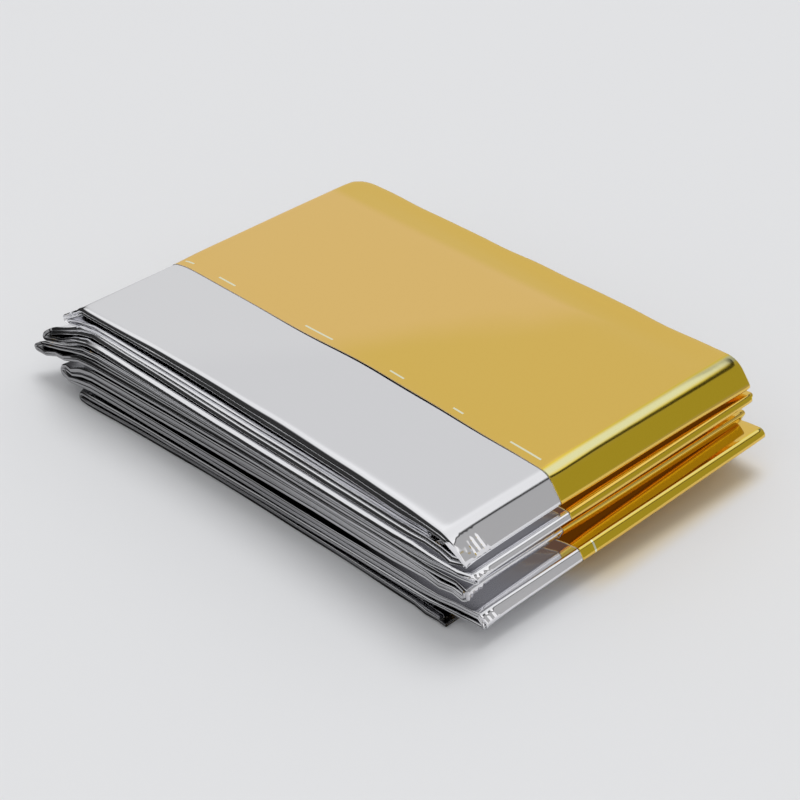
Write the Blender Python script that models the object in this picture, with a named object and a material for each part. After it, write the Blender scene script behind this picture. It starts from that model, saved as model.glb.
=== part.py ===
"""Emergency foil blanket, folded to its packet and lying on a surface.

The blanket is one sheet of metallised film, gold on one face and silver on the other. It is folded
across its width into a long strip, and the strip is then laid back and forth into ten passes. This
script builds the strip as one closed solid: a section with two rounded film folds at each edge, swept
along the zig-zag of the passes. X runs along the passes, Y across the strip, Z up.
"""

import math
from typing import NamedTuple

import bmesh
import bpy
from mathutils import Vector

# Driving dimensions, in metres
MM = 0.001
SHEET_LENGTH = 2.10
SHEET_WIDTH = 1.60
PANELS_EACH_WAY = 16
PANEL_LENGTH = SHEET_LENGTH / PANELS_EACH_WAY
PANEL_WIDTH = SHEET_WIDTH / PANELS_EACH_WAY
STRIP_THICKNESS = 1.6 * MM
GOLD_EDGE_Y = 32.0 * MM
GOLD_STEP = 0.35 * MM
STEP_RUN = 0.5 * MM
SHOULDER_X = 5.0 * MM
RIGHT_STATION_X = 0.96 * PANEL_LENGTH
TALL_FOLD_DEPTH = 3.0 * MM

# Unevenness of the stack, at its top
SAG = 0.45 * MM
TROUGH = 0.6 * MM
TROUGH_Y = 93.0 * MM
TROUGH_WIDTH = 5.0 * MM

# How finely the strip is divided
PASS_STEPS = 8
TOP_STEPS = 16
END_CLUSTERING = 0.85
TURN_STEPS = 7
TALL_TURN_STEPS = 12

GOLD = (0.80, 0.53, 0.12, 1.0)
SILVER = (0.80, 0.80, 0.82, 1.0)
FOIL_ROUGHNESS = 0.18


class Pass(NamedTuple):
    """One run of the strip from end to end, in millimetres. Heights are of its middle."""

    left_tip: float
    left: float
    right_near: float
    right_far: float
    front_left: float
    front_right: float
    front_bow: float
    back: float


class Turn(NamedTuple):
    """A fold between two passes: its reach along X at the near and far edge, in millimetres."""

    near: float
    far: float


# From the tucked-in end, over the top and down to the floor
PASSES = (
    Pass(20.9, 22.2, 23.4, 24.2, 0.2, 1.5, 0.5, 99.6),
    Pass(23.0, 27.4, 27.5, 27.3, 1.0, -0.3, 2.0, 101.0),
    Pass(16.6, 19.3, 19.7, 21.6, -0.5, 0.4, 0.3, 100.2),
    Pass(14.2, 16.9, 17.6, 18.9, -1.5, 0.2, 0.0, 100.9),
    Pass(11.4, 14.4, 15.4, 16.6, -1.5, 0.5, 0.5, 99.8),
    Pass(7.4, 11.8, 13.2, 14.0, -2.2, 1.0, 0.8, 100.4),
    Pass(6.6, 8.9, 10.6, 11.6, -2.5, 1.4, 0.8, 99.5),
    Pass(4.6, 6.4, 6.7, 8.9, -2.5, 2.0, 0.5, 101.8),
    Pass(2.8, 3.9, 3.5, 6.7, -3.0, 2.0, 0.6, 101.8),
    Pass(0.8, 0.8, 0.8, 0.8, -3.0, 0.0, 1.6, 100.0),
)
TURNS = (
    Turn(-10.5, -9.0),
    Turn(134.6, 137.5),
    Turn(-18.5, -16.0),
    Turn(138.8, 140.0),
    Turn(-25.0, -21.0),
    Turn(134.8, 136.5),
    Turn(-12.0, -12.0),
    Turn(139.0, 142.0),
    Turn(-7.5, -9.0),
)
TUCKED_END = Turn(124.0, 126.0)
FLOOR_END = Turn(129.0, 127.0)
TOP_PASS = 1
TALL_TURN = 1


def mix(a, b, share):
    """The value that lies that share of the way from a to b."""
    return a + (b - a) * share


def eased(share):
    """A share from 0 to 1 with a smooth start and end."""
    share = min(1.0, max(0.0, share))
    return share * share * (3.0 - 2.0 * share)


def turn_x(turn, across):
    """How far a fold reaches along X, at a share of the way across the strip."""
    return mix(turn.near, turn.far, across) * MM


def pass_height(index, x, across):
    """The height of the middle of a pass."""
    row = PASSES[index]
    along = min(1.0, max(0.0, (x - SHOULDER_X) / (RIGHT_STATION_X - SHOULDER_X)))
    right = mix(row.right_near, row.right_far, across)
    height = mix(row.left, right, along)
    left_turn = TURNS[index - index % 2]
    if x < SHOULDER_X:
        drop = eased((SHOULDER_X - x) / (SHOULDER_X - turn_x(left_turn, across)))
        height = mix(row.left, row.left_tip, drop)
    floor, top = PASSES[-1].left, PASSES[TOP_PASS].left
    return height * MM + unevenness(x, across) * (height - floor) / (top - floor)


def unevenness(x, across):
    """How far the top lies off its level: a sag in the middle and a trough near the far edge."""
    along = min(1.0, max(0.0, x / PANEL_LENGTH))
    sag = -SAG * math.sin(math.pi * along) * math.sin(math.pi * across)
    away = (across * PANEL_WIDTH - TROUGH_Y) / TROUGH_WIDTH
    return sag - TROUGH * math.sin(math.pi * along) * math.exp(-away * away)


def edge_y(index, x):
    """Where the front and back edges of a pass lie."""
    row = PASSES[index]
    along = min(1.0, max(0.0, x / PANEL_LENGTH))
    bow = 4.0 * row.front_bow * along * (1.0 - along)
    front = mix(row.front_left, row.front_right, along) + bow
    return Vector((front, row.back)) * MM


def pass_stations(index, across):
    """Points along the middle of a pass, in the order in which the strip runs."""
    rightwards = index % 2 == 1
    last = len(PASSES) - 1
    entry = TUCKED_END if index == 0 else TURNS[index - 1]
    leaving = FLOOR_END if index == last else TURNS[index]
    start, end = turn_x(entry, across), turn_x(leaving, across)
    inward = 1.0 if rightwards else -1.0
    if index > 0:
        start += inward * turn_depth(index - 1, across)
    if index < last:
        end -= inward * turn_depth(index, across)
    steps = TOP_STEPS if index == TOP_PASS else PASS_STEPS
    points = []
    for step in range(steps + 1):
        share = step / steps
        share = mix(share, eased(share), END_CLUSTERING)
        x = mix(start, end, share)
        points.append((Vector((x, pass_height(index, x, across))), edge_y(index, x)))
    return points


def turn_heights(index, across):
    """The heights at which a fold meets the pass before it and the pass after it."""
    x = turn_x(TURNS[index], across)
    return pass_height(index, x, across), pass_height(index + 1, x, across)


def turn_depth(index, across):
    """How far a fold's round part reaches along X. The tall one is flat in its middle."""
    before, after = turn_heights(index, across)
    return min(abs(before - after) / 2.0, TALL_FOLD_DEPTH)


def turn_stations(index, across):
    """Points round a fold, between the two passes that it joins."""
    outward = 1.0 if index % 2 == 1 else -1.0
    depth = turn_depth(index, across)
    tip = turn_x(TURNS[index], across)
    base = tip - outward * depth
    before = pass_height(index, base, across)
    after = pass_height(index + 1, base, across)
    middle, half = (before + after) / 2.0, (before - after) / 2.0
    flat = abs(half) - depth
    steps = TALL_TURN_STEPS if index == TALL_TURN else TURN_STEPS
    front = edge_y(index, base)
    back = edge_y(index + 1, base)
    points = []
    for step in range(1, steps):
        share = step / steps
        angle = math.pi * share
        x = base + outward * depth * math.sin(angle)
        height = math.cos(angle) * (abs(half) - flat)
        height += flat * math.copysign(min(1.0, abs(math.cos(angle)) * 2.0), math.cos(angle))
        z = middle + math.copysign(1.0, half) * height
        points.append((Vector((x, z)), front.lerp(back, share)))
    return points


def strip_line(across):
    """The strip's whole line at a share of the way across it, with the gold step's share at each point."""
    line = []
    for index in range(len(PASSES)):
        shows = 1.0 if index == TOP_PASS else 0.0
        line += [(*point, shows) for point in pass_stations(index, across)]
        if index < len(TURNS):
            shows = 1.0 if index < 2 or index % 2 == 1 else 0.0
            line += [(*point, shows) for point in turn_stations(index, across)]
    return line


def edge_fold():
    """One edge of the strip, from its outer face to its inner one: two film folds and a groove.

    Each point is (how far in from the edge, how far off the middle of the strip).
    """
    radius = STRIP_THICKNESS / 4.0
    rim = radius * (1.0 - math.sin(math.radians(60.0)))
    return (
        (radius, 2.0 * radius),
        (rim, 1.5 * radius),
        (rim, 0.5 * radius),
        (1.6 * radius, 0.0),
        (rim, -0.5 * radius),
        (rim, -1.5 * radius),
        (radius, -2.0 * radius),
    )


def section_points():
    """The strip's section as (what Y is measured from, Y, offset off the middle, on the gold step)."""
    half = STRIP_THICKNESS / 2.0
    section = [("front", inset, off, False) for inset, off in reversed(edge_fold())]
    section += [("at", GOLD_EDGE_Y / 2.0, half, False)]
    section += [("at", GOLD_EDGE_Y - STEP_RUN / 2.0, half, False)]
    section += [("at", GOLD_EDGE_Y + STEP_RUN / 2.0, half, True)]
    section += [("at", share * PANEL_WIDTH, half, True) for share in (0.5, 0.75, 0.88)]
    section += [("back", inset, off, off > 0.9 * half) for inset, off in edge_fold()]
    section += [("at", share * PANEL_WIDTH, -half, False) for share in (0.88, 0.6, 0.3)]
    return section


def outward_normal(line, index):
    """The direction off the strip's outer face, in the XZ plane, at a point of its line."""
    here = line[index][0]
    before = here - line[max(0, index - 1)][0]
    after = line[min(len(line) - 1, index + 1)][0] - here
    steps = [step.normalized() for step in (before, after) if step.length > 0.0]
    along = sum(steps, Vector((0.0, 0.0))).normalized()
    lengthen = 1.0 / max(0.8, along.dot(steps[0]))
    return Vector((-along.y, along.x)) * lengthen


def strip_rings():
    """The strip's section at each station along it, as rings of points in space."""
    lines = {}
    rings = []
    section = section_points()
    count = len(strip_line(0.0))
    for station in range(count):
        ring = []
        for place, across_y, off, on_step in section:
            share = {"front": 0.0, "back": 1.0}.get(place, across_y / PANEL_WIDTH)
            line = lines.setdefault(share, strip_line(share))
            middle, edges, shows = line[station]
            y = {"front": edges.x + across_y, "back": edges.y - across_y}.get(place, across_y)
            off += GOLD_STEP * shows if on_step else 0.0
            place_xz = middle + outward_normal(line, station) * off
            ring.append(Vector((place_xz.x, y, place_xz.y)))
        rings.append(ring)
    return rings


def cap(shape, ring, outward):
    """Closes an end of the strip with a fan of triangles round the middle of its section."""
    middle = sum((corner.co for corner in ring), Vector()) / len(ring)
    hub = shape.verts.new(middle)
    for corner, after in zip(ring, ring[1:] + ring[:1]):
        shape.faces.new((corner, after, hub) if outward else (after, corner, hub))


def strip_mesh():
    """A closed mesh of the strip, its rings joined by quads and capped at both ends."""
    shape = bmesh.new()
    rings = [[shape.verts.new(point) for point in ring] for ring in strip_rings()]
    size = len(rings[0])
    for ring, following in zip(rings, rings[1:]):
        for corner in range(size):
            after = (corner + 1) % size
            shape.faces.new((ring[corner], following[corner], following[after], ring[after]))
    cap(shape, rings[0], True)
    cap(shape, rings[-1], False)
    bmesh.ops.recalc_face_normals(shape, faces=shape.faces)
    for face in shape.faces:
        face.smooth = True
    mesh = bpy.data.meshes.new("foil_blanket")
    shape.to_mesh(mesh)
    shape.free()
    return mesh


def foil(name, colour):
    """A metallised film finish."""
    finish = bpy.data.materials.new(name)
    finish.use_nodes = True
    shader = finish.node_tree.nodes["Principled BSDF"]
    shader.inputs["Base Color"].default_value = colour
    shader.inputs["Metallic"].default_value = 1.0
    shader.inputs["Roughness"].default_value = FOIL_ROUGHNESS
    return finish


def colour_faces(mesh):
    """Gives the gold panel, on the strip's outer side, the gold finish and the rest silver."""
    mesh.materials.append(foil("silver_face", SILVER))
    mesh.materials.append(foil("gold_face", GOLD))
    section = section_points()
    ring = len(section)
    gold = [index for index, point in enumerate(section) if point[3]]
    for face in mesh.polygons:
        corners = [corner % ring for corner in face.vertices]
        swept = len(corners) == 4
        face.material_index = int(swept and all(gold[0] <= corner <= gold[-1] for corner in corners))


def centre_on_floor(mesh):
    """Moves the mesh so that its box is centred over the origin and its lowest face is at height 0."""
    low = Vector([min(vertex.co[axis] for vertex in mesh.vertices) for axis in range(3)])
    high = Vector([max(vertex.co[axis] for vertex in mesh.vertices) for axis in range(3)])
    middle = (low + high) / 2.0
    for vertex in mesh.vertices:
        vertex.co -= Vector((middle.x, middle.y, low.z))


def main():
    """Builds the folded blanket."""
    for obj in list(bpy.data.objects):
        bpy.data.objects.remove(obj)
    mesh = strip_mesh()
    colour_faces(mesh)
    centre_on_floor(mesh)
    mesh.set_sharp_from_angle(angle=math.radians(50.0))
    blanket = bpy.data.objects.new("foil_blanket", mesh)
    bpy.context.scene.collection.objects.link(blanket)


main()
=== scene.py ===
"""The looks of the folded emergency foil blanket: one thin film, gold on one face and silver on the other.

The film is folded across its width into a strip, and the strip is laid back and forth in passes. Every
length in the tables is in millimetres, measured from the front left corner of the top panel: X runs
along the passes, Y across the strip and Z up.
"""
import logging
import math
from dataclasses import dataclass
from enum import Enum

import bpy
import numpy as np
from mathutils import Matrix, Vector


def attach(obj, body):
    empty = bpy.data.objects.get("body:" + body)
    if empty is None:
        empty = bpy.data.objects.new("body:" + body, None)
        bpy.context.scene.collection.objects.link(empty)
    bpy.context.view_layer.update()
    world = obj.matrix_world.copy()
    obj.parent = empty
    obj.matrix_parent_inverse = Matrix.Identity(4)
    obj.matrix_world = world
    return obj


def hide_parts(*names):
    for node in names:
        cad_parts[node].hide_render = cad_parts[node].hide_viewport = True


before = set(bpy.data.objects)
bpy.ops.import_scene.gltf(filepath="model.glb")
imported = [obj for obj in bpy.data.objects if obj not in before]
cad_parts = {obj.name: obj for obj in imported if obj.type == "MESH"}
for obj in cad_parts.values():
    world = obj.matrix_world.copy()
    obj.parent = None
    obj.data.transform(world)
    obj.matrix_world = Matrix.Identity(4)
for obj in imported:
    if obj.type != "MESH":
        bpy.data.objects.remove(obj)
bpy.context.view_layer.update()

LOG = logging.getLogger("foil_blanket")
MM = 0.001
PANEL_LENGTH = 131.25
PANEL_WIDTH = 100.0
PANEL_CORNER_X = -58.69
PANEL_CORNER_Y = -49.4
PINCH_START_X = 112.0
PINCH_RUN = 14.0

Value = "Wire | float | tuple"


class Face(Enum):
    """The two faces of the film, in the order of the mesh's material slots."""

    GOLD = 0
    SILVER = 1


class Wire:
    """A shader socket whose arithmetic adds Math nodes."""

    def __init__(self, net: "ShaderNet", socket: bpy.types.NodeSocket) -> None:
        """Wraps a socket.

        Args:
            net: The node tree that the socket is in.
            socket: The output socket.
        """
        self.net = net
        self.socket = socket

    def _math(self, operation: str, *values: Value) -> "Wire":
        """Adds a Math node.

        Args:
            operation: The node's operation.
            values: What feeds its sockets.

        Returns:
            The node's output.
        """
        return self.net.node("ShaderNodeMath", {"operation": operation}, dict(enumerate(values)))

    def __add__(self, other: Value) -> "Wire":
        """The sum."""
        return self._math("ADD", self, other)

    __radd__ = __add__

    def __sub__(self, other: Value) -> "Wire":
        """The difference."""
        return self._math("SUBTRACT", self, other)

    def __rsub__(self, other: Value) -> "Wire":
        """The difference from a number."""
        return self._math("SUBTRACT", other, self)

    def __mul__(self, other: Value) -> "Wire":
        """The product."""
        return self._math("MULTIPLY", self, other)

    __rmul__ = __mul__

    def __abs__(self) -> "Wire":
        """The size without its sign."""
        return self._math("ABSOLUTE", self)

    def __lt__(self, other: Value) -> "Wire":
        """1 where this is less."""
        return self._math("LESS_THAN", self, other)

    def larger(self, other: Value) -> "Wire":
        """The larger of the two."""
        return self._math("MAXIMUM", self, other)

    def eased(self, low: float, high: float) -> "Wire":
        """Rises smoothly from 0 to 1.

        Args:
            low: Where the rise starts.
            high: Where it ends.

        Returns:
            The eased share.
        """
        settings = {"interpolation_type": "SMOOTHSTEP"}
        return self.net.node("ShaderNodeMapRange", settings, {0: self, 1: low, 2: high, 3: 0.0, 4: 1.0})


class ShaderNet:
    """The node tree of a material or a world."""

    def __init__(self, tree: bpy.types.NodeTree) -> None:
        """Empties a node tree.

        Args:
            tree: The tree to fill.
        """
        self.tree = tree
        tree.nodes.clear()

    def node(self, kind: str, settings: dict | None = None, values: dict | None = None,
             output: int | str = 0) -> Wire:
        """Adds a node of any type.

        Args:
            kind: The node's type.
            settings: The node's properties, set first.
            values: A number, colour or wire for each socket, by name or place.
            output: The output that is wanted.

        Returns:
            That output.
        """
        made = self.tree.nodes.new(kind)
        for name, setting in (settings or {}).items():
            setattr(made, name, setting)
        for key, value in (values or {}).items():
            socket = made.inputs[key]
            if isinstance(value, Wire):
                self.tree.links.new(value.socket, socket)
            else:
                socket.default_value = value
        return Wire(self, made.outputs[output] if made.outputs else None)

    def mix(self, share: Value, first: Value, second: Value) -> Wire:
        """Mixes two colours.

        Args:
            share: How much of the second.
            first: The first colour.
            second: The second colour.

        Returns:
            The mixed colour.
        """
        return self.node("ShaderNodeMix", {"data_type": "RGBA"}, {0: share, 6: first, 7: second}, 2)


def wave(along: np.ndarray, seed: float, length: float) -> np.ndarray:
    """An even-tempered wave that never repeats within the packet.

    Args:
        along: Where it is wanted.
        seed: Which wave.
        length: Its longest wavelength.

    Returns:
        Values between about -1 and 1.
    """
    total = np.zeros_like(np.asarray(along, dtype=float))
    for octave, (pitch, height) in enumerate(((1.0, 0.5), (1.73, 0.3), (2.91, 0.2))):
        phase = 2.0 * math.pi * math.modf(seed * 0.6180339 + octave * 0.377 + 0.13)[0]
        total += height * np.sin(2.0 * math.pi * pitch * along / length + phase)
    return total


def facets(along: np.ndarray) -> np.ndarray:
    """A wave of flat slopes with sharp turns, as creased film has.

    Args:
        along: The phase, in turns.

    Returns:
        Values between -1 and 1.
    """
    return 1.0 - 4.0 * np.abs(along - np.floor(along) - 0.5)


def eased(share: np.ndarray) -> np.ndarray:
    """A share from 0 to 1 with a smooth start and end.

    Args:
        share: The plain share, held between 0 and 1.

    Returns:
        The eased share.
    """
    share = np.clip(share, 0.0, 1.0)
    return share * share * (3.0 - 2.0 * share)


@dataclass(frozen=True)
class Fold:
    """A front fold of a pass: a creased wedge whose upper facet tilts up."""

    rise: float
    half: float
    tilt_deg: float
    inset: float


@dataclass(frozen=True)
class Pass:
    """One run of the strip from end to end. Heights are of its middle."""

    left_tip: float
    left: float
    right_near: float
    right_far: float
    tip_rise_near: float
    tip_rise_far: float
    front_left: float
    front_right: float
    front_bow: float
    back: float
    pitch: float
    upper: Fold
    lower: Fold


@dataclass(frozen=True)
class Turn:
    """The fold that joins a pass to the next: a face between two rounded corners."""

    near: float
    far: float
    bow: float
    back_near: float
    back_far: float
    round_upper: float
    round_lower: float
    # How strongly a highlight is painted along the turn's upper corner.
    painted_highlight: float


PASSES = (
    Pass(21.6, 24.2, 23.0, 24.2, 0.0, 0.0, 0.2, 1.5, 0.5, 99.6, 0.30,
         Fold(-0.30, 0.20, 62.0, 0.1), Fold(-1.85, 0.28, 62.0, 0.0)),
    Pass(27.4, 27.4, 27.5, 27.3, 0.0, 0.0, 0.15, -1.1, 2.0, 101.0, 0.40,
         Fold(-0.72, 0.72, 33.0, 0.0), Fold(-2.05, 0.62, 31.0, -0.2)),
    Pass(14.8, 21.6, 20.0, 21.6, 0.1, 0.0, -0.5, 0.4, 0.3, 100.2, 0.30,
         Fold(0.50, 0.60, 33.0, 1.0), Fold(-0.72, 0.56, 33.0, 0.4)),
    Pass(12.6, 19.0, 17.6, 18.9, 0.8, 0.8, -1.5, 0.2, 0.0, 100.9, 0.24,
         Fold(0.50, 0.35, 62.0, 0.2), Fold(-0.80, 0.62, 32.0, 0.5)),
    Pass(9.4, 15.9, 15.4, 16.6, 1.8, 1.8, -1.5, 0.5, 0.5, 99.8, 0.24,
         Fold(0.30, 0.28, 4.0, 0.5), Fold(-1.25, 0.40, 6.0, 0.6)),
    Pass(7.2, 13.3, 13.2, 14.0, 0.0, 0.0, -2.2, 1.0, 0.8, 100.4, 0.30,
         Fold(0.40, 0.50, 30.0, 0.2), Fold(-0.75, 0.50, 18.0, 0.3)),
    Pass(7.3, 10.4, 10.6, 11.0, 0.0, 0.0, -2.5, 1.4, 0.8, 99.5, 0.30,
         Fold(0.15, 0.80, 2.0, 0.1), Fold(-1.60, 0.50, 10.0, 0.1)),
    Pass(5.2, 7.2, 5.9, 8.7, 1.8, 2.0, -2.5, 2.0, 0.5, 101.8, 0.25,
         Fold(-0.30, 0.72, 4.0, 0.0), Fold(-1.60, 0.66, 4.0, 0.0)),
    Pass(2.9, 3.4, 2.8, 6.7, 2.0, 2.3, -3.0, 2.0, 0.6, 101.8, 0.25,
         Fold(-0.40, 0.42, 6.0, 0.1), Fold(-1.00, 0.30, 30.0, 1.0)),
    Pass(0.8, 0.8, 0.8, 0.8, 0.0, 0.0, -3.0, 0.0, 1.6, 100.0, 0.38,
         Fold(0.30, 0.38, 12.0, 0.1), Fold(-0.42, 0.34, 15.0, 0.2)),
)
TURNS = (
    Turn(-9.0, -5.0, 1.0, 6.7, 2.7, 0.8, 0.6, 0.0),
    Turn(134.15, 136.9, 2.0, 3.85, 5.6, 2.7, 1.3, 1.0),
    Turn(-18.2, -12.0, 1.0, 2.0, 1.0, 0.8, 0.8, 0.0),
    Turn(136.6, 138.1, 1.0, 0.9, 0.9, 0.3, 0.8, 0.0),
    Turn(-22.3, -16.0, 1.0, 1.5, 1.0, 0.8, 0.8, 0.0),
    Turn(133.0, 135.0, 1.0, -1.1, -1.1, 0.5, 0.5, 0.0),
    Turn(-10.5, -10.0, 1.0, 1.0, 1.0, 0.8, 0.8, 0.0),
    Turn(138.9, 142.2, 1.0, 1.6, 1.1, 0.75, 0.9, 0.8),
    Turn(-3.0, -7.0, 1.0, 1.0, 1.0, 0.8, 0.8, 0.0),
)
TUCKED_END = Turn(124.0, 126.0, 1.0, 0.0, 0.0, 0.0, 0.0, 0.0)
FLOOR_END = Turn(129.0, 127.0, 1.0, 0.0, 0.0, 0.0, 0.0, 0.0)
TOP_PASS = 1
LAST_OPEN_PASS = 7
MARKED_TURN = 7


@dataclass
class StripPath:
    """The zig-zag line that the strip follows, which differs a little across its width."""

    left_station_x: float = 3.0
    right_station_x: float = 122.0
    pass_steps: int = 24
    top_steps: int = 50
    corner_steps: int = 7
    face_steps: int = 4
    clustering: float = 0.55
    corner_fit: float = 0.94
    flare: float = 8.0
    droop: float = 1.6

    def height(self, index: int, x: np.ndarray, across: np.ndarray) -> np.ndarray:
        """The height of the middle of a pass.

        Args:
            index: Which pass.
            x: Where along it.
            across: Shares of the way across the strip.

        Returns:
            The heights.
        """
        row = PASSES[index]
        along = np.clip((x - self.left_station_x) / (self.right_station_x - self.left_station_x), 0.0, 1.0)
        right = row.right_near + (row.right_far - row.right_near) * across
        level = right + (row.left - right) * (1.0 - along) ** self.droop
        left_tip = self.reach(TURNS[index - index % 2], across)
        past = (self.left_station_x - x) / (self.left_station_x - left_tip)
        level += (row.left_tip - row.left) * eased(past)
        if 0 < index < len(TURNS):
            right_tip = self.reach(TURNS[index - 1 + index % 2], across)
            rise = row.tip_rise_near + (row.tip_rise_far - row.tip_rise_near) * across
            level += rise * eased((x - self.right_station_x) / (right_tip - self.right_station_x))
        return level

    def share(self, turn: Turn, across: np.ndarray) -> np.ndarray:
        """How far a turn has gone over to its far shape. Left-hand turns flare at the front."""
        return 1.0 - np.exp(-across * PANEL_WIDTH / self.flare) if turn.near < 0.0 else across ** turn.bow

    def reach(self, turn: Turn, across: np.ndarray) -> np.ndarray:
        """How far the lower corner of a turn reaches along X.

        Args:
            turn: The turn.
            across: Shares of the way across the strip.

        Returns:
            The reach at each share.
        """
        return turn.near + (turn.far - turn.near) * self.share(turn, across)

    def corners(self, index: int, across: np.ndarray) -> tuple:
        """The two corners of a turn and how far each is rounded.

        Args:
            index: Which turn.
            across: Shares of the way across the strip.

        Returns:
            X, Z and rounding of the corner on the pass before, then of the one on the pass after.
        """
        turn = TURNS[index]
        outward = 1.0 if index % 2 else -1.0
        lower = self.reach(turn, across)
        back = turn.back_near + (turn.back_far - turn.back_near) * self.share(turn, across)
        upper = lower - outward * back
        first, second = (lower, upper) if index == 0 else (upper, lower)
        z_first, z_second = self.height(index, first, across), self.height(index + 1, second, across)
        rounds = (turn.round_lower, turn.round_upper) if index == 0 else (turn.round_upper, turn.round_lower)
        face = np.hypot(second - first, z_second - z_first)
        fit = np.minimum(1.0, self.corner_fit * face / sum(rounds))
        return first, z_first, rounds[0] * fit, second, z_second, rounds[1] * fit

    def lines(self, across: np.ndarray) -> dict:
        """The strip's line at each share of the way across it.

        Args:
            across: The shares.

        Returns:
            Arrays by name, a row for each station and a column for each share.
        """
        rows = []
        for index in range(len(PASSES)):
            rows += self._pass_rows(index, across)
            if index < len(TURNS):
                rows += self._turn_rows(index, across)
        # The bend column marks a right-hand turn's outward face, which the materials paint with a darker,
        # olive reflection; the column after it is a highlight painted on the turn's upper corner.
        names = ("x", "z", "index", "onward", "bend", "painted_highlight", "drop")
        return {name: np.array([row[place] for row in rows]) for place, name in enumerate(names)}

    def _pass_rows(self, index: int, across: np.ndarray) -> list:
        """The stations of one pass.

        Args:
            index: Which pass.
            across: Shares of the way across the strip.

        Returns:
            A row for each station.
        """
        outward = 1.0 if index % 2 else -1.0
        start, end = self.reach(TUCKED_END, across), self.reach(FLOOR_END, across)
        if index > 0:
            _, _, _, corner, _, rounding = self.corners(index - 1, across)
            start = corner + outward * rounding
        if index < len(TURNS):
            corner, _, rounding = self.corners(index, across)[:3]
            end = corner - outward * rounding
        steps = self.top_steps if index == TOP_PASS else self.pass_steps
        rows = []
        for share in np.linspace(0.0, 1.0, steps + 1):
            share = share + (float(eased(np.array(share))) - share) * self.clustering
            x = start + (end - start) * share
            rows.append((x, self.height(index, x, across), index, 0.0, 0.0, 0.0, 0.0 * x))
        return rows

    def _turn_rows(self, index: int, across: np.ndarray) -> list:
        """The stations round one turn, with the shares of its painted reflection and painted highlight.

        Args:
            index: Which turn.
            across: Shares of the way across the strip.

        Returns:
            A row for each station between the turn's ends.
        """
        outward = 1.0 if index % 2 else -1.0
        painted_highlight = TURNS[index].painted_highlight
        x_first, z_first, r_first, x_second, z_second, r_second = self.corners(index, across)
        length = np.hypot(x_second - x_first, z_second - z_first)
        way = np.stack(((x_second - x_first) / length, (z_second - z_first) / length))
        before, after = x_first - outward * r_first, x_second - outward * r_second
        first, second = np.stack((x_first, z_first)), np.stack((x_second, z_second))
        start = np.stack((before, self.height(index, before, across)))
        end = np.stack((after, self.height(index + 1, after, across)))
        leave, join = first + way * r_first, second - way * r_second
        on_face = max(outward, 0.0)
        rows = []
        for t in np.linspace(0.0, 1.0, self.corner_steps + 1)[1:]:
            point = self._rounded(start, first, leave, t)
            # Share of the painted olive reflection: it comes in over the end of the upper corner, standing
            # in for the darker room that the leaning face mirrors.
            turn_reflection_share = on_face * float(eased(np.array((t - 0.5) / 0.25)))
            # A highlight painted along the upper corner, where the rounded top mirrors the bright sky.
            shine = painted_highlight * math.sin(math.pi * min(1.0, t / 0.72)) ** 0.7
            rows.append((*point, index, 0.3 * t, turn_reflection_share, shine, z_first - point[1]))
        for t in np.linspace(0.0, 1.0, self.face_steps + 1)[1:]:
            point = leave + (join - leave) * t
            rows.append((*point, index, 0.3 + 0.4 * t, on_face, 0.0, z_first - point[1]))
        for t in np.linspace(0.0, 1.0, self.corner_steps + 1)[1:-1]:
            # The painted olive reflection fades out over the start of the lower corner.
            turn_reflection_share = on_face * (1.0 - float(eased(np.array(t / 0.3))))
            point = self._rounded(join, second, end, t)
            rows.append((*point, index, 0.7 + 0.3 * t, turn_reflection_share, 0.0, z_first - point[1]))
        return rows

    def _rounded(self, start: np.ndarray, corner: np.ndarray, end: np.ndarray, t: float) -> np.ndarray:
        """A point on the curve that rounds a corner.

        Args:
            start: Where the curve starts.
            corner: The corner.
            end: Where the curve ends.
            t: The share of the way along it.

        Returns:
            The point.
        """
        return start * (1.0 - t) ** 2 + corner * 2.0 * t * (1.0 - t) + end * t * t


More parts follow.
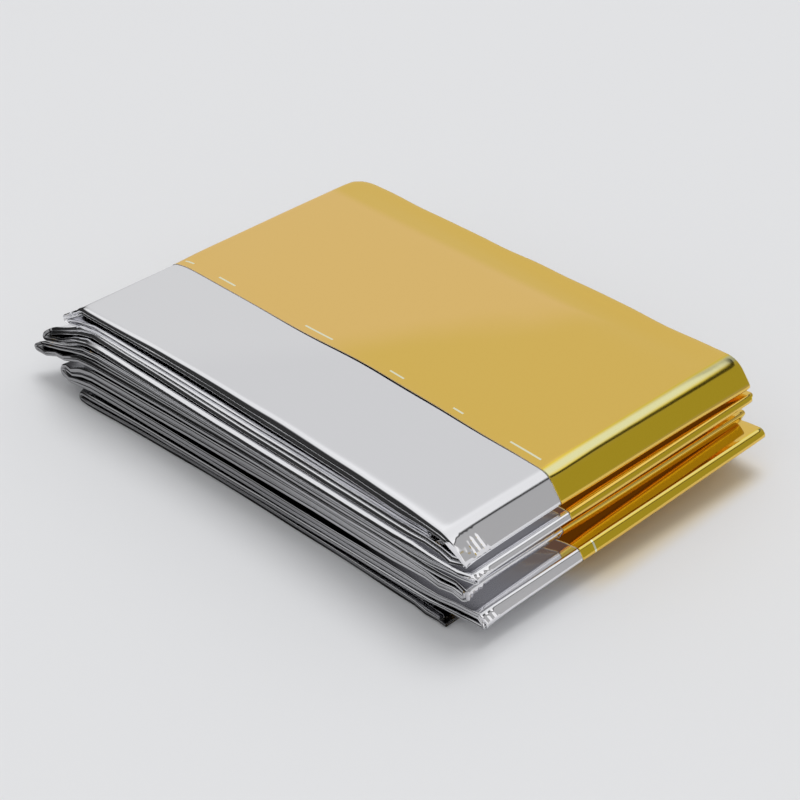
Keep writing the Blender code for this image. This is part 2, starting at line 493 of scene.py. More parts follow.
@dataclass
class FilmSection:
    """The film's fold across the strip: from the gold layer's free edge, to and fro through five layers."""

    crease: float = 0.55
    undercut: float = 0.3
    gold_edge: float = 32.0
    gold_wander: float = 0.5
    gold_wander_run: float = 12.0
    outer_step: float = 0.4
    outer_steps: int = 24
    edge_gap: float = 0.1
    edge_run: float = 7.0
    lift: float = 0.2
    lift_run: float = 4.0
    settle: float = 3.5
    back_settle: float = 1.8
    back_bulge: float = 1.3

    def layout(self) -> list:
        """Lists the section's points from one free edge of the film to the other.

        Returns:
            Triples of the layer or fold, its nominal Y and its share round a fold.
        """
        gold = [self.gold_edge + run for run in (0.0, 0.4, 1.0, 2.0, 3.5, 5.5, 8.0, 11.5, 15.5, 20.0, 25.0)]
        gold += [62.0, 67.0, 72.0, 77.0, 81.0, 84.5, 87.5, 90.0, 92.3, 94.5, 96.5, 98.2]
        points = [("L1", y, 0.0) for y in gold]
        points += self._fold("B1")
        points += [("L2", y, 0.0) for y in (97.0, 80.0, 60.0, 42.0, 36.0, 33.0)]
        points += [("L2", y, 0.0) for y in (31.0, 28.0, 24.0, 19.5, 15.0, 12.0, 10.4)]
        points += [("L2", self.outer_step * step, 0.0) for step in range(self.outer_steps, 0, -1)]
        points += self._fold("F1")
        points += [("L3", y, 0.0) for y in (1.0, 3.0, 7.0, 14.0, 50.0, 92.0)]
        points += self._fold("B2")
        points += [("L4", y, 0.0) for y in (92.0, 50.0, 14.0, 7.0, 3.0, 1.0)]
        points += self._fold("F2")
        points += [("L5", y, 0.0) for y in (1.0, 2.2, 4.0, 6.5, 10.0, 15.0, 24.0, 40.0, 62.0, 84.0, 98.5)]
        return points

    def _fold(self, name: str) -> list:
        """Lists the points round one fold, drawn together at a front fold's crease.

        Args:
            name: The fold, B at the back or F at the front.

        Returns:
            The fold's points.
        """
        if name[0] == "B":
            return [(name, PANEL_WIDTH, share) for share in (0.0, 0.25, 0.5, 0.75, 1.0)]
        return [(name, 0.0, share) for share in (0.0, 0.22, 0.42, 0.482, 0.5, 0.518, 0.58, 0.78, 1.0)]

    def place(self, line: dict, points: list) -> tuple:
        """Places the section's points at every station.

        Args:
            line: The strip's line.
            points: The section's points, as layout gives them.

        Returns:
            Arrays of Y and of the offset off the strip's middle, stations by points.
        """
        edges = StripEdges(line)
        shape = (len(edges.front), len(points))
        y_all, off_all = np.zeros(shape), np.zeros(shape)
        for column, (name, y, share) in enumerate(points):
            if name[0] == "L":
                y_all[:, column], off_all[:, column] = self._layer(int(name[1]), y, edges)
            elif name[0] == "F":
                y_all[:, column], off_all[:, column] = self._front_fold(name, share, edges)
            else:
                y_all[:, column], off_all[:, column] = self._back_fold(name, share, edges)
        return y_all, off_all

    def _depths(self, fold: dict, edges: "StripEdges") -> tuple:
        """How far behind its crease a front fold starts and ends.

        Args:
            fold: The fold's shape along the strip.
            edges: The strip's edges.

        Returns:
            The depths on the side of the layer before and of the layer after.
        """
        facet = fold["half"] * (1.0 + self.crease) * np.tan(np.radians(fold["tilt"]))
        under = fold["half"] * self.undercut
        up = (1.0 + edges.facing) / 2.0
        return under + (facet - under) * up, facet + (under - facet) * up

    def _front_fold(self, name: str, share: float, edges: "StripEdges") -> tuple:
        """Places one point round a front fold.

        Args:
            name: The fold.
            share: Its share of the way round, with the crease at the middle.
            edges: The strip's edges.

        Returns:
            Y and the offset at every station.
        """
        fold = edges.folds[name]
        before, after = self._depths(fold, edges)
        low = -self.crease * edges.facing
        if share < 0.5:
            run = 1.0 - 2.0 * share
            level, depth = low + (1.0 - low) * run, before * run
        else:
            run = 2.0 * share - 1.0
            level, depth = low - (1.0 + low) * run, after * run
        return edges.front + fold["inset"] + depth, fold["rise"] + fold["half"] * level

    def _back_fold(self, name: str, share: float, edges: "StripEdges") -> tuple:
        """Places one point round a back fold.

        Args:
            name: The fold.
            share: Its share of the way round.
            edges: The strip's edges.

        Returns:
            Y and the offset at every station.
        """
        middle, half, inset = edges.back_fold(name)
        bulge = self.back_bulge * half * (1.0 - math.sin(math.pi * share))
        return edges.back - inset - bulge, middle + half * math.cos(math.pi * share)

    def _layer(self, layer: int, y: float, edges: "StripEdges") -> tuple:
        """Places one point of a layer.

        Args:
            layer: Which layer, from 1 at the side that the strip shows.
            y: Its nominal Y.
            edges: The strip's edges.

        Returns:
            Y and the offset at every station.
        """
        nominal = edges.pitch * (3 - layer)
        share = y / PANEL_WIDTH
        straight = y + edges.front * (1.0 - share) + (edges.back - PANEL_WIDTH) * share
        off = nominal.copy()
        if layer > 1:
            fold = edges.folds["F1" if layer < 4 else "F2"]
            sign = 1.0 if layer % 2 == 0 else -1.0
            depth = self._depths(fold, edges)[layer % 2]
            settle = self.settle + (edges.rim - self.settle) * edges.on_top if layer == 2 else self.settle
            off += (fold["rise"] + sign * fold["half"] - nominal) * np.exp(-y / settle)
            straight = straight + (fold["inset"] + depth) * math.exp(-y / self.settle)
        if layer < 5:
            sign = 1.0 if layer % 2 == 1 else -1.0
            middle, half, inset = edges.back_fold("B1" if layer < 3 else "B2")
            fade = math.exp(-(PANEL_WIDTH - y) / self.back_settle)
            off += (middle + sign * half - nominal) * fade
            straight = straight - (inset + self.back_bulge * half) * fade
        if layer == 1:
            run = y - self.gold_edge
            off -= (edges.pitch - self.edge_gap) * math.exp(-(run / self.edge_run) ** 2)
            off += edges.lift * self.lift * math.exp(-run / self.lift_run)
            straight = straight + self.gold_wander * edges.gold_wave * math.exp(-run / self.gold_wander_run)
        return straight, off


class StripEdges:
    """How the front and back edges of the strip lie at each station."""

    front_wander: float = 0.12
    back_wander: float = 0.3
    top_run: float = 0.35
    edge_lift: float = 1.1
    right_pinch: float = 0.38
    left_pinch: float = 0.3
    top_pinch: float = 0.5
    top_pinch_x: float = 70.0
    corner_radius: float = 6.0
    corner_start: float = 2.0
    corner_draw: float = 0.7

    def __init__(self, line: dict) -> None:
        """Works the edges out along the strip.

        Args:
            line: The strip's line, as StripPath.lines gives it.
        """
        middle = line["x"].shape[1] // 2
        self.x = line["x"][:, middle]
        self.index = line["index"].astype(int)
        self.onward = line["onward"]
        self.along = np.concatenate(([0.0], np.cumsum(np.hypot(
            np.diff(self.x), np.diff(line["z"][:, middle])))))
        share = np.clip(self.x / PANEL_LENGTH, 0.0, 1.0)
        bow = 4.0 * share * (1.0 - share)
        left = self.column([row.front_left for row in PASSES])
        right = self.column([row.front_right for row in PASSES])
        self.front = left + (right - left) * share + self.column([row.front_bow for row in PASSES]) * bow
        self.front += self.front_wander * wave(self.along, 1.0, 71.0)
        self.back = self.column([row.back for row in PASSES])
        self.back += self.back_wander * wave(self.along, 2.0, 74.0)
        self.back -= self.corner(self.x)
        self.pitch = self.column([row.pitch for row in PASSES])
        self.facing = self.column([1.0 if index % 2 else -1.0 for index in range(len(PASSES))])
        self.on_top = np.exp(-((self.index + self.onward - TOP_PASS) / self.top_run) ** 2)
        self.folds = {name: self._fold(name) for name in ("F1", "F2")}
        self.rim = 0.45 + 0.85 * share
        lifted = np.sin(math.pi * np.clip((share - 0.2) / 0.8, 0.0, 1.0)) ** 1.5
        self.lift = self.edge_lift * self.on_top * lifted
        self.gold_wave = wave(self.along, 6.0, 90.0)

    def column(self, values: list) -> np.ndarray:
        """A value of the passes, blended round the turns.

        Args:
            values: The value of each pass.

        Returns:
            The value at each station.
        """
        values = np.array(values)
        after = values[np.minimum(self.index + 1, len(PASSES) - 1)]
        return values[self.index] + (after - values[self.index]) * eased(self.onward)

    def _fold(self, name: str) -> dict:
        """The shape of one front fold along the strip. The first fold is the upper one of the odd passes.

        Args:
            name: The fold.

        Returns:
            Its offset, half height, tilt and inset at each station.
        """
        seed = 3.0 if name == "F1" else 4.0
        chosen = [row.upper if (index % 2 == 1) == (name == "F1") else row.lower
                  for index, row in enumerate(PASSES)]
        squeeze = 1.0 - self.right_pinch * eased((self.x - PINCH_START_X) / PINCH_RUN)
        squeeze -= self.left_pinch * eased((1.0 - self.x) / 8.0)
        squeeze *= 1.0 - self.top_pinch * self.on_top * (1.0 - eased(self.x / self.top_pinch_x))
        signed = [fold.rise * (1.0 if index % 2 else -1.0) for index, fold in enumerate(chosen)]
        tilt = self.column([fold.tilt_deg for fold in chosen])
        inset = self.column([fold.inset for fold in chosen])
        return {"rise": self.column(signed) * squeeze,
                "half": self.column([fold.half for fold in chosen]) * squeeze,
                "tilt": tilt + 3.0 * wave(self.along, seed, 97.0),
                "inset": inset + 0.08 * wave(self.along, seed + 2.0, 43.0)}

    def back_fold(self, name: str) -> tuple:
        """The shape of one back fold along the strip.

        Args:
            name: The fold.

        Returns:
            Its offset, its half height and its distance in from the back edge.
        """
        upper = name == "B1"
        inset = (0.1 if upper else 0.7) + 0.3 * (1.0 + wave(self.along, 7.0 if upper else 8.0, 52.0))
        return self.pitch * (1.0 if upper else -0.75), 0.72 * self.pitch, inset

    def corner(self, x: np.ndarray) -> np.ndarray:
        """How far the rounded back left corner draws the back edge in.

        Args:
            x: Where along the strip.

        Returns:
            The draw at each station.
        """
        radius = self.corner_radius
        past = np.clip((radius - self.corner_start - x) / radius, 0.0, 1.0)
        return radius * (1.0 - np.sqrt(1.0 - past * past)) * self.corner_draw


@dataclass
class Relief:
    """The unevenness of the whole packet, as moves of points in space."""

    sag: float = 0.45
    trough: float = 0.6
    trough_y: float = 93.0
    trough_width: float = 5.0
    swell: float = 0.12
    stack_height: float = 27.4
    crumple: float = 0.5
    crumple_reach: float = 3.2
    calm_on_turns: float = 0.9
    pleat: float = 0.2
    pleat_pitch: float = 1.6
    pleat_slant: float = 0.4
    pleats_start: float = 1.8
    pleats_end: float = 6.4
    end_facet: float = 0.3
    end_reach: float = 2.2
    tuck: float = 0.16
    tuck_reach: float = 9.0

    def apply(self, points: np.ndarray, middle: np.ndarray, line: dict, outer: np.ndarray) -> np.ndarray:
        """Moves the film's points.

        Args:
            points: The film's points, in millimetres.
            middle: The same points moved to the middle of the strip's layers.
            line: The strip's line.
            outer: 1 on the layer that the strip shows.

        Returns:
            The moved points.
        """
        x, y, z = points[..., 0], points[..., 1], points[..., 2]
        level = np.clip(z / self.stack_height, 0.0, 1.1)
        along = np.clip(x / PANEL_LENGTH, 0.0, 1.0)
        across = np.clip(y / PANEL_WIDTH, 0.0, 1.0)
        lift = -self.sag * np.sin(math.pi * along) * np.sin(math.pi * across)
        away = (y - self.trough_y - 4.0 * (1.0 - along)) / self.trough_width
        lift -= self.trough * np.sin(math.pi * along) ** 0.6 * np.exp(-away * away)
        lift += self.swell * wave(x + 0.6 * y, 11.0, 83.0) * np.sin(math.pi * across) ** 0.5
        moved = points.copy()
        moved[..., 2] += lift * level
        front = np.exp(-np.clip(y, 0.0, None) / self.crumple_reach)
        right = eased((middle[..., 0] - PINCH_START_X) / PINCH_RUN) * eased((27.5 - middle[..., 2]) / 3.0)
        left = eased((1.0 - middle[..., 0]) / 6.0) * eased((28.6 - middle[..., 2]) / 3.0)
        calm = 1.0 - self.calm_on_turns * line["bend"][:, None]
        self._crumple(moved, middle, front * (right + 0.9 * left) * calm)
        self._pleats(moved, middle, line, outer)
        return moved

    def _crumple(self, moved: np.ndarray, points: np.ndarray, near: np.ndarray) -> None:
        """Creases a front corner of the packet.

        Args:
            moved: The points to move.
            points: The points before the packet's unevenness.
            near: How strongly each point is creased.
        """
        x, y, z = points[..., 0], points[..., 1], points[..., 2]
        first = facets((x * 0.9 + z * 1.3 + y * 0.4) / 5.3)
        second = facets((x * 1.1 - z * 1.2 + 2.0) / 6.7)
        third = facets((z * 0.9 + x * 0.25) / 3.1)
        moved[..., 1] += self.crumple * near * (first + 0.7 * second)
        moved[..., 2] += 0.45 * self.crumple * near * (third + 0.6 * second) * np.clip(z / 2.0, 0.0, 1.0)

    def _pleats(self, moved: np.ndarray, points: np.ndarray, line: dict, outer: np.ndarray) -> None:
        """Presses short parallel creases into the turns beside their front ends.

        Args:
            moved: The points to move.
            points: The points before the packet's unevenness.
            line: The strip's line.
            outer: 1 on the layer that the strip shows.
        """
        bend, onward = line["bend"][:, None], line["onward"][:, None]
        face = bend * outer * eased((onward - 0.22) / 0.08) * eased((0.8 - onward) / 0.1)
        place = points[..., 1] - self.pleat_slant * line["drop"]
        near = eased((place - self.pleats_start) / 0.4) * eased((self.pleats_end - place) / 0.4) * face
        moved[..., 0] += self.pleat * near * (1.0 + facets(place / self.pleat_pitch))
        end = eased((self.end_reach - place) / 0.8) * bend * outer
        height = points[..., 2]
        zigzag = 0.6 * facets(height / 3.3 + place / 5.0) + 0.4 * facets(height / 2.1 - place / 3.0)
        moved[..., 0] += self.end_facet * end * (1.0 + zigzag)
        moved[..., 0] -= self.tuck * bend * (1.0 - outer) * eased((self.tuck_reach - place) / 1.5)


@dataclass(frozen=True)
class FoilFinish:
    """A metallised face of the film. Colours are linear. Besides the film's own colour and its printed
    dashes, the finish paints light and shade: a darker reflection on the turns' faces and in some zones of
    the passes, a highlight on the turns' upper corners, shade on the front folds and bottom edge, and a
    faint light in the gaps.
    """

    name: str
    flat: tuple
    painted_reflection_shade: tuple
    painted_turn_reflection: tuple
    painted_highlight_fringe: tuple
    painted_highlight: tuple
    mark: tuple
    painted_gap_light: tuple
    roughness: float
    marked: bool
    # The near-black colour of the painted shade on the front folds.
    painted_shade: tuple = (0.02, 0.02, 0.02, 1.0)
    dash_half_width: float = 0.28

    def material(self, dashes: list) -> bpy.types.Material:
        """Makes the finish's material, with its painted reflection, highlight, shade and gap light.

        Args:
            dashes: Where the bright dashes lie along the strip.

        Returns:
            The material.
        """
        made = bpy.data.materials.new(self.name)
        made.use_nodes = True
        made.cycles.emission_sampling = "NONE"
        net = ShaderNet(made.node_tree)
        film = net.node("ShaderNodeAttribute", {"attribute_name": "film"}, output="Vector")
        along = net.node("ShaderNodeSeparateXYZ", values={0: film}, output=0)
        across = net.node("ShaderNodeSeparateXYZ", values={0: film}, output=1)
        gap = net.node("ShaderNodeSeparateXYZ", values={0: film}, output=2)
        shape = net.node("ShaderNodeAttribute", {"attribute_name": "fold"}, output="Vector")
        bend = net.node("ShaderNodeSeparateXYZ", values={0: shape}, output=0)
        painted_highlight = net.node("ShaderNodeSeparateXYZ", values={0: shape}, output=1)
        front = net.node("ShaderNodeSeparateXYZ", values={0: shape}, output=2)
        place = net.node("ShaderNodeTexCoord", output="Object")
        cloud = net.node("ShaderNodeTexNoise", values={"Vector": place, "Scale": 28.0, "Detail": 3.0})
        # Painted reflection: the outward faces of the right-hand turns take a darker olive colour, standing
        # in for the darker room they mirror.
        colour = net.mix(bend, self.flat, self.painted_turn_reflection)
        # Painted highlight: a yellow fringe, then a pale colour, on the turns' upper corners.
        colour = net.mix(painted_highlight.eased(0.05, 0.5), colour, self.painted_highlight_fringe)
        colour = net.mix(painted_highlight.eased(0.55, 0.95), colour, self.painted_highlight)
        x = net.node("ShaderNodeSeparateXYZ", values={0: place}, output=0)
        y = net.node("ShaderNodeSeparateXYZ", values={0: place}, output=1)
        # Painted shade: a darker, deeper colour towards the right-front part and along the trough by the
        # back edge, where the film mirrors darker surroundings; an even 15 % share of it everywhere is the
        # film's own tone.
        near = (x * 0.84 - y * 0.54 + cloud * 0.012).eased(0.004, 0.020)
        painted_reflection_shade = near.larger(y.eased(0.0385, 0.0425)) * (1.0 - bend) * (1.0 - painted_highlight)
        colour = net.mix(0.15 + painted_reflection_shade * 0.75, colour, self.painted_reflection_shade)
        # Painted shade: the front folds darken below mid-height, for the shadowed floor that they mirror,
        # and at the bottom edge as a painted contact shadow.
        colour = net.mix(front, colour, self.painted_shade)
        if self.marked:
            colour = net.mix(self._dashes(along, across, dashes), colour, self.mark)
        # Painted light: the gaps between the passes at the right end glow faintly, standing in for light
        # bounced in there.
        shader = net.node("ShaderNodeBsdfPrincipled", values={
            "Base Color": colour, "Metallic": 1.0, "Emission Strength": 1.0,
            "Emission Color": net.mix(gap, (0.0, 0.0, 0.0, 1.0), self.painted_gap_light),
            "Roughness": self.roughness + 0.05 * cloud,
            "Normal": self._creases(net, place, across)})
        net.node("ShaderNodeOutputMaterial", values={0: shader})
        return made

    def _dashes(self, along: Wire, across: Wire, dashes: list) -> Wire:
        """Masks the row of dashes just inside the gold layer's free edge.

        Args:
            along: The distance along the strip.
            across: The distance from the film's free edge.
            dashes: Each dash's start, end and distance from the edge.

        Returns:
            1 on a dash.
        """
        mask = across * 0.0
        for start, end, inset in dashes:
            middle, half = (start + end) / 2.0, (end - start) / 2.0
            beside = abs(across - inset) < self.dash_half_width
            mask = mask.larger((abs(along - middle) < half) * beside)
        return mask

    def _creases(self, net: ShaderNet, place: Wire, across: Wire) -> Wire:
        """Bumps the film with fine creases.

        Args:
            net: The material's node tree.
            place: The point in the packet.
            across: The distance from the film's free edge.

        Returns:
            The bumped normal.
        """
        soft = net.node("ShaderNodeTexNoise", values={"Vector": place, "Scale": 60.0, "Detail": 2.0})
        fine = net.node("ShaderNodeTexNoise", values={"Vector": place, "Scale": 420.0, "Detail": 2.0})
        height = soft * 0.6 + fine * 0.05
        return net.node("ShaderNodeBump", values={"Height": height, "Strength": 0.14, "Distance": 0.0006})


GOLD_FINISH = FoilFinish(
    name="gold_film", flat=(0.95, 0.63, 0.21, 1.0), painted_reflection_shade=(0.86, 0.58, 0.115, 1.0),
    painted_turn_reflection=(0.78, 0.56, 0.02, 1.0), painted_highlight_fringe=(0.80, 0.64, 0.04, 1.0), painted_highlight=(0.74, 0.76, 0.44, 1.0),
    mark=(0.95, 0.95, 0.70, 1.0), painted_gap_light=(0.022, 0.011, 0.0006, 1.0), roughness=0.07, marked=True)
SILVER_FINISH = FoilFinish(
    name="silver_film", flat=(0.88, 0.88, 0.90, 1.0), painted_reflection_shade=(0.84, 0.84, 0.865, 1.0),
    painted_turn_reflection=(0.90, 0.89, 0.91, 1.0), painted_highlight_fringe=(0.80, 0.80, 0.82, 1.0), painted_highlight=(0.76, 0.76, 0.78, 1.0),
    mark=(0.9, 0.9, 0.9, 1.0), painted_gap_light=(0.036, 0.036, 0.038, 1.0), roughness=0.07, marked=False)


@dataclass
class FoilBlanket:
    """The folded film, as one thin sheet along the passes of its strip."""

    path: StripPath
    section: FilmSection
    relief: Relief
    film_thickness: float = 0.06
    dash_inset: float = 2.6
    turn_dash_inset: float = 4.6
    dash_runs: tuple = ((-1.2, 1.5), (11.4, 17.8), (44.7, 54.5), (74.8, 79.8), (96.9, 100.3),
                        (115.9, 125.7))
    # Where the painted gap light starts along X and how far it takes to come in.
    gap_start_x: float = 96.0
    gap_run: float = 18.0

    def build(self) -> bpy.types.Object:
        """Builds the film and says what it stands for.

        Returns:
            The film's object.
        """
        points = self.section.layout()
        across = np.array([min(1.0, max(0.0, y / PANEL_WIDTH)) for _, y, _ in points])
        line = self.path.lines(across)
        y, off = self.section.place(line, points)
        normal_x, normal_z = self._outward(line)
        film = np.stack((line["x"] + normal_x * off, y, line["z"] + normal_z * off), axis=-1)
        middle = np.stack((line["x"], y, line["z"]), axis=-1)
        outer = np.array([self._outer_share(name, share) for name, _, share in points])
        film = self.relief.apply(film, middle, line, outer[None, :])
        mesh = self._mesh(film)
        self._attributes(mesh, film, line, outer)
        blanket = bpy.data.objects.new("foil_blanket_film", mesh)
        bpy.context.scene.collection.objects.link(blanket)
        for finish in (GOLD_FINISH, SILVER_FINISH):
            mesh.materials.append(finish.material(self._dashes(line)))
        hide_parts("foil_blanket")
        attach(blanket, "root")
        return blanket

    def _outer_share(self, name: str, share: float) -> float:
        """How far a point belongs to the layer that the strip shows, which ends at the front crease.

        Args:
            name: The point's layer or fold.
            share: Its share round a fold.

        Returns:
            1 on the layer, falling to 0 at the crease.
        """
        if name == "F1":
            return max(0.0, 1.0 - 2.0 * share)
        return 1.0 if name in ("L1", "L2") else 0.0

    def _outward(self, line: dict) -> tuple:
        """The direction off the side that the strip shows.

        Args:
            line: The strip's line.

        Returns:
            Its X and Z at every station and point.
        """
        run, rise = np.gradient(line["x"], axis=0), np.gradient(line["z"], axis=0)
        length = np.hypot(run, rise)
        return -rise / length, run / length

    def _mesh(self, film: np.ndarray) -> bpy.types.Mesh:
        """Makes the film's closed mesh: a gold shell, a silver shell and a rim.

        Args:
            film: The film's points, in millimetres.

        Returns:
            The mesh, in metres and in the part's frame.
        """
        rows, columns = film.shape[:2]
        along, over = np.gradient(film, axis=0), np.gradient(film, axis=1)
        normal = np.cross(along, over)
        normal /= np.linalg.norm(normal, axis=-1, keepdims=True)
        half = normal * self.film_thickness / 2.0
        shells = np.concatenate(((film + half).reshape(-1, 3), (film - half).reshape(-1, 3)))
        shells[:, 0] += PANEL_CORNER_X
        shells[:, 1] += PANEL_CORNER_Y
        shells[:, 2] -= shells[:, 2].min()
        grid = np.arange(rows * columns).reshape(rows, columns)
        under = grid + rows * columns
        gold = self._quads(grid)
        silver = self._quads(under)[:, ::-1]
        border = np.concatenate((grid[:-1, 0], grid[-1, :-1], grid[:0:-1, -1], grid[0, :0:-1]))
        following = np.roll(border, -1)
        rim = np.stack((following, border, border + rows * columns, following + rows * columns), axis=1)
        faces = np.concatenate((gold, silver, rim[:, ::-1]))
        mesh = bpy.data.meshes.new("foil_blanket_film")
        mesh.from_pydata((shells * MM).tolist(), [], faces.tolist())
        slots = np.full(len(faces), Face.SILVER.value, dtype=np.int32)
        slots[:len(gold)] = Face.GOLD.value
        mesh.polygons.foreach_set("material_index", slots)
        mesh.shade_smooth()
        mesh.update()
        return mesh

    def _quads(self, grid: np.ndarray) -> np.ndarray:
        """The quads of a grid of points.

        Args:
            grid: The points' numbers.

        Returns:
            Four numbers for each quad.
        """
        return np.stack((grid[:-1, :-1], grid[1:, :-1], grid[1:, 1:], grid[:-1, 1:]), axis=-1).reshape(-1, 4)

    def _attributes(self, mesh: bpy.types.Mesh, film: np.ndarray, line: dict, outer: np.ndarray) -> None:
        """Writes where each point lies on the flat film, how it lies in the packet, and where the materials
        paint reflection, highlight, shade and gap light.

        Args:
            mesh: The film's mesh.
            film: The film's points.
            line: The strip's line.
            outer: 1 on the layer that the strip shows.
        """
        columns = film.shape[1]
        steps = np.linalg.norm(np.diff(film, axis=1), axis=-1).mean(axis=0)
        across = np.concatenate(([0.0], np.cumsum(steps)))
        along = self._along(line)
        flat = np.zeros(film.shape)
        flat[..., 0], flat[..., 1] = along[:, None], across[None, :]
        fold = np.zeros(film.shape)
        # X: the painted olive reflection on the turns' faces; Y: the painted highlight on their upper
        # corners; Z: painted shade on the front folds and bottom edge.
        fold[..., 0] = np.repeat(line["bend"][:, None], columns, axis=1)
        fold[..., 1] = np.repeat(line["painted_highlight"][:, None], columns, axis=1)
        # Painted shade on the front folds: darker below about 18 mm, for the shadowed floor they mirror, and
        # at the bottom edge as a contact shadow; not on the turns' faces.
        front = np.exp(-np.clip(film[..., 1] - 0.5, 0.0, None) / 2.0)
        painted_shade = 0.66 * eased((18.0 - film[..., 2]) / 3.0) + 0.4 * eased((1.2 - film[..., 2]) / 0.6)
        fold[..., 2] = front * painted_shade * (1.0 - line["bend"][:, None])
        # Painted gap light: a faint glow on the shown layer of the lower passes towards the right end, where
        # the gaps would be lit by bounced light.
        gap = (line["onward"] == 0.0) & (line["index"] > TOP_PASS) & (line["index"] <= LAST_OPEN_PASS)
        inside = eased((film[..., 0] - self.gap_start_x) / self.gap_run) * eased((film[..., 1] - 2.0) / 4.0)
        flat[..., 2] = gap[:, None] * outer * inside
        for name, values in (("film", flat), ("fold", fold)):
            layer = mesh.attributes.new(name, "FLOAT_VECTOR", "POINT")
            both = np.concatenate((values.reshape(-1, 3), values.reshape(-1, 3)))
            layer.data.foreach_set("vector", both.astype(np.float32).ravel())

    def _along(self, line: dict) -> np.ndarray:
        """The distance along the strip at each station.

        Args:
            line: The strip's line.

        Returns:
            The distances.
        """
        middle = line["x"].shape[1] // 2
        steps = np.hypot(np.diff(line["x"][:, middle]), np.diff(line["z"][:, middle]))
        return np.concatenate(([0.0], np.cumsum(steps)))

    def _dashes(self, line: dict) -> list:
        """Where the dashes lie along the strip.

        Args:
            line: The strip's line.

        Returns:
            Each dash's start, end and distance from the film's free edge.
        """
        along = self._along(line)
        middle = line["x"].shape[1] // 2
        top = (line["index"] == TOP_PASS) & (line["onward"] == 0.0)
        dashes = []
        for left, right in self.dash_runs:
            start, end = np.interp((left, right), line["x"][top, middle], along[top])
            dashes.append((float(start), float(end), self.dash_inset))
        on_turn = along[(line["index"] == MARKED_TURN) & (line["onward"] > 0.0)]
        dashes.append((float(on_turn.min()), float(on_turn.max()), self.turn_dash_inset))
        return dashes


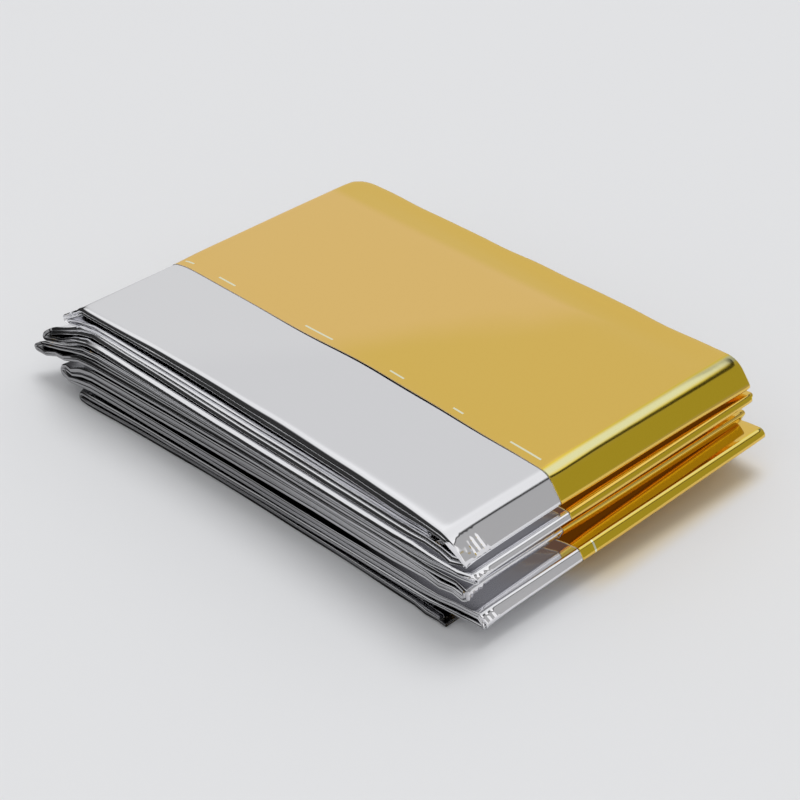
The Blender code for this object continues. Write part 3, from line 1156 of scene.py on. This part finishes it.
@dataclass
class Studio:
    """The pale floor, the soft light round it and the camera."""

    floor_half: float = 0.6
    floor_colour: tuple = (0.80, 0.805, 0.82, 1.0)
    # The colour and strength of a painted warm shadow beside the packet's right end, with the gold light
    # that the foil throws there.
    painted_shadow_and_bounce_colour: tuple = (0.78, 0.66, 0.44, 1.0)
    painted_shadow_and_bounce_share: float = 0.75
    key_place: tuple = (-0.11, 0.21, 0.6)
    key_angle_deg: float = 32.0
    key_energy: float = 1.15
    even_light: float = 0.62
    seen_light: float = 0.11
    focal_px: float = 1941.0
    frame_px: float = 800.0
    sensor: float = 36.0
    azimuth_deg: float = 45.07
    elevation_deg: float = 34.42
    distance: float = 514.56
    aim: tuple = (56.99, 57.4)

    def build(self) -> None:
        """Builds the floor, the light and the camera."""
        self._floor()
        self._world()
        self._key_light()
        self._camera()
        LOG.info("studio: floor, light and camera")

    def _floor(self) -> None:
        """Lays the floor, with a painted warm shadow beside the packet's right end."""
        mesh = bpy.data.meshes.new("floor")
        half = self.floor_half
        corners = [(-half, -half, 0.0), (half, -half, 0.0), (half, half, 0.0), (-half, half, 0.0)]
        mesh.from_pydata(corners, [], [(0, 1, 2, 3)])
        floor = bpy.data.objects.new("floor", mesh)
        bpy.context.scene.collection.objects.link(floor)
        made = bpy.data.materials.new("floor_paper")
        made.use_nodes = True
        net = ShaderNet(made.node_tree)
        place = net.node("ShaderNodeTexCoord", output="Object")
        cloud = net.node("ShaderNodeTexNoise", values={"Vector": place, "Scale": 6.0})
        darker = tuple(channel * 0.985 for channel in self.floor_colour[:3]) + (1.0,)
        colour = net.mix(cloud, self.floor_colour, darker)
        x = net.node("ShaderNodeSeparateXYZ", values={0: place}, output=0)
        y = net.node("ShaderNodeSeparateXYZ", values={0: place}, output=1)
        # Painted shadow and reflected light: a warm, darker patch on the floor beside the right end, under
        # the lifted lower turn.
        shadow_and_bounce_mask = x.eased(0.060, 0.070) * (1.0 - x.eased(0.083, 0.0895))
        shadow_and_bounce_mask = shadow_and_bounce_mask * y.eased(-0.022, -0.004) * (1.0 - y.eased(0.040, 0.056))
        colour = net.mix(shadow_and_bounce_mask * self.painted_shadow_and_bounce_share, colour, self.painted_shadow_and_bounce_colour)
        shader = net.node("ShaderNodeBsdfPrincipled", values={"Base Color": colour, "Roughness": 0.75})
        net.node("ShaderNodeOutputMaterial", values={0: shader})
        mesh.materials.append(made)

    def _world(self) -> None:
        """Fills the room: even light for the floor, and bright and dark bands for the foil to mirror."""
        world = bpy.data.worlds.new("studio")
        world.use_nodes = True
        bpy.context.scene.world = world
        net = ShaderNet(world.node_tree)
        way = net.node("ShaderNodeTexCoord", output="Generated")
        x = net.node("ShaderNodeSeparateXYZ", values={0: way}, output=0)
        y = net.node("ShaderNodeSeparateXYZ", values={0: way}, output=1)
        z = net.node("ShaderNodeSeparateXYZ", values={0: way}, output=2)
        right = (x * 0.8 + y * 0.6).eased(0.1, 0.45)
        front = (y * -0.75 - x * 0.65).eased(0.1, 0.4)
        back_sky = 0.72 + 0.26 * z.eased(0.62, 0.75)
        card = x.eased(0.85, 0.91) * (1.0 - z.eased(0.5, 0.6))
        right_sky = 0.42 + 0.5 * card - 0.36 * z.eased(0.585, 0.62) + 0.92 * z.eased(0.67, 0.73)
        front_sky = 0.03 + 0.85 * z.eased(0.50, 0.72)
        level = back_sky + right * (right_sky - back_sky)
        level = level + front * (front_sky - level)
        rays = net.node("ShaderNodeLightPath", output="Is Glossy Ray")
        seen = net.node("ShaderNodeLightPath", output="Is Camera Ray")
        even = self.even_light + self.seen_light * seen
        strength = even + rays * (level - even)
        light = net.node("ShaderNodeBackground", values={"Color": (0.995, 0.998, 1.0, 1.0),
                                                          "Strength": strength})
        net.node("ShaderNodeOutputWorld", values={0: light})

    def _key_light(self) -> None:
        """Hangs one wide soft light above and behind."""
        data = bpy.data.lights.new("soft_key", "SUN")
        data.angle = math.radians(self.key_angle_deg)
        data.energy = self.key_energy
        light = bpy.data.objects.new("soft_key", data)
        light.location = self.key_place
        light.rotation_euler = (-light.location).to_track_quat("-Z", "Y").to_euler()
        light.visible_glossy = False
        bpy.context.scene.collection.objects.link(light)

    def _camera(self) -> None:
        """Sets up the camera at the photo's angle."""
        azimuth, elevation = math.radians(self.azimuth_deg), math.radians(self.elevation_deg)
        back = Vector((math.sin(azimuth) * math.cos(elevation),
                       -math.cos(azimuth) * math.cos(elevation), math.sin(elevation)))
        aim = Vector((self.aim[0] + PANEL_CORNER_X, self.aim[1] + PANEL_CORNER_Y, 0.0)) * MM
        data = bpy.data.cameras.new("camera")
        data.sensor_width = self.sensor
        data.lens = self.focal_px / self.frame_px * self.sensor
        data.clip_start = 0.01
        camera = bpy.data.objects.new("camera", data)
        camera.location = aim + back * self.distance * MM
        camera.rotation_euler = (-back).to_track_quat("-Z", "Y").to_euler()
        bpy.context.scene.collection.objects.link(camera)
        bpy.context.scene.camera = camera
        bpy.context.scene.view_settings.view_transform = "Standard"


def main() -> None:
    """Builds the blanket and the studio."""
    logging.basicConfig(level=logging.INFO, format="%(name)s: %(message)s")
    FoilBlanket(StripPath(), FilmSection(), Relief()).build()
    Studio().build()


if __name__ == "__main__":
    main()
